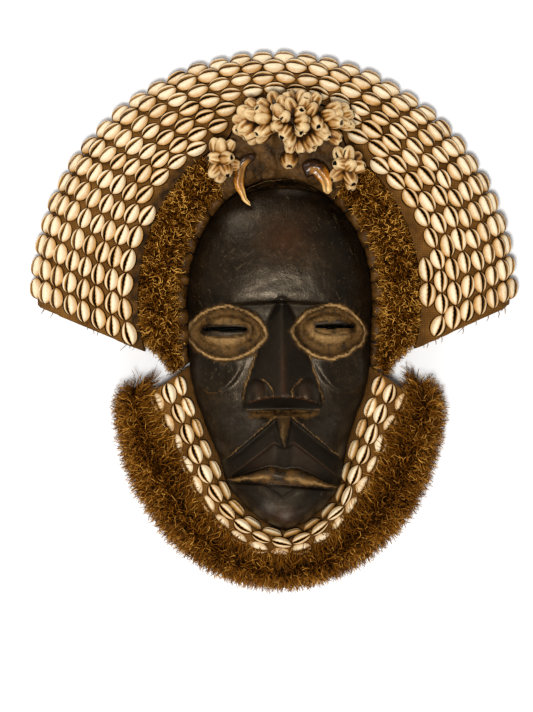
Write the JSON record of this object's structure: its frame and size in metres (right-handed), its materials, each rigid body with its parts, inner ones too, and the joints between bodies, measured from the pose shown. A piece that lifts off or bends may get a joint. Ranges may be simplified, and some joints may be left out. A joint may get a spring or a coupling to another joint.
{
  "type": "dan face mask",
  "caption": "Carved wooden face mask with a fan crest and collar of cowrie shells, fibre hair and beard, shells and teeth at the crown, and a hollow open back.",
  "frame": {"origin": "middle of the underside of the mask lying on its back", "axes": "+X to the viewer's right, +Y from chin to crown, +Z out of the face"},
  "size_m": [0.3888, 0.4288, 0.0792],
  "materials": {
    "wood": "blackened, rubbed to a soft gloss, with ochre in the hollows",
    "cloth": "coarse brown woven cloth",
    "shell": "cream cowrie shell, satin",
    "tied_shell": "cowrie shell stained tan, satin",
    "fibre": "dense orange brown plant fibre",
    "hide": "dark rolled hide with stitches",
    "pad": "rough dark leather and resin",
    "tooth": "amber animal tooth, satin"
  },
  "bodies": {
    "root": {"beard": "fibre", "binding_left": "hide", "binding_right": "hide", "collar": "cloth", "collar_row_1": "shell", "collar_row_2": "shell", "collar_row_3": "shell", "cowrie_bunch": "tied_shell", "cowrie_bunch_left": "tied_shell", "cowrie_bunch_right": "tied_shell", "crest": "cloth", "crest_row_1_left": "shell", "crest_row_1_right": "shell", "crest_row_2_left": "shell", "crest_row_2_right": "shell", "crest_row_3_left": "shell", "crest_row_3_right": "shell", "crest_row_4_left": "shell", "crest_row_4_right": "shell", "crest_row_5": "shell", "crest_row_6": "shell", "crest_row_7": "shell", "crest_row_8": "shell", "crown_pad": "pad", "crown_shell": "shell", "face": "wood", "hair_left": "fibre", "hair_right": "fibre", "tooth_left": "tooth", "tooth_right": "tooth"}
  },
  "joints": []
}
